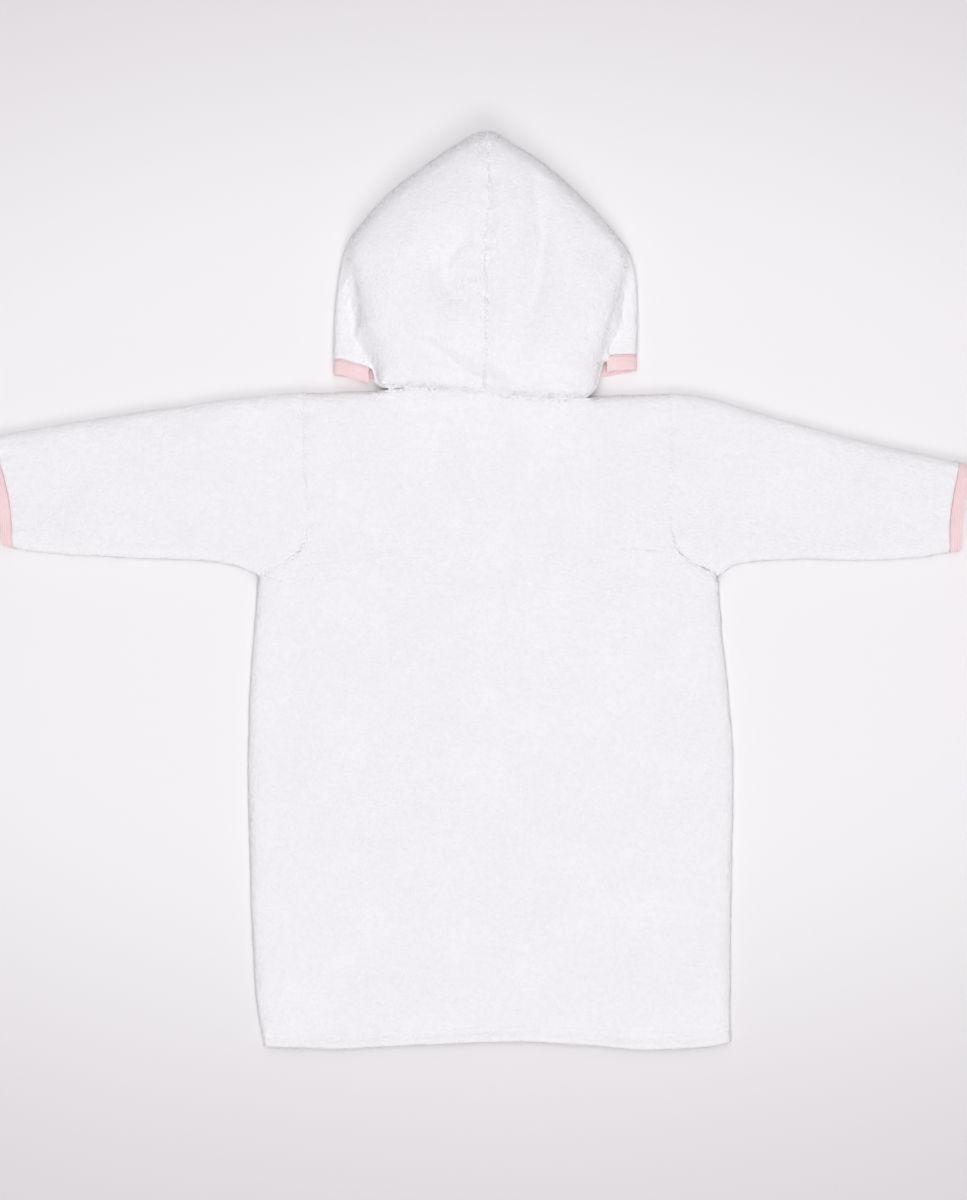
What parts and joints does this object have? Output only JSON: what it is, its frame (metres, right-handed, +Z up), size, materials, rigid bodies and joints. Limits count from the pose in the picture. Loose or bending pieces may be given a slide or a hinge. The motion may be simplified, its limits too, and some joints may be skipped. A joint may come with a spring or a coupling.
{
  "type": "baby bathrobe",
  "caption": "Hooded terry bathrobe for a baby, laid flat with its back up, sleeves spread, hood puffed and a bound edge on cuffs, hood and fronts.",
  "frame": {"origin": "centre of the garment's laid outline, on the surface that it rests on", "axes": "+X to the wearer's right cuff, +Y from the hem to the hood, +Z up from the surface to the garment's back"},
  "size_m": [0.746, 0.6899, 0.0298],
  "materials": {
    "terry": "white cotton terry, looped pile, matt",
    "binding": "pale pink cotton rib binding, matt"
  },
  "bodies": {
    "root": {"back": "terry", "front_left": "terry", "front_right": "terry", "sleeve_left": "terry", "sleeve_right": "terry", "hood_left": "terry", "hood_right": "terry", "cuff_binding_left": "binding", "cuff_binding_right": "binding", "hood_binding": "binding", "front_binding_left": "binding", "front_binding_right": "binding"}
  },
  "joints": []
}
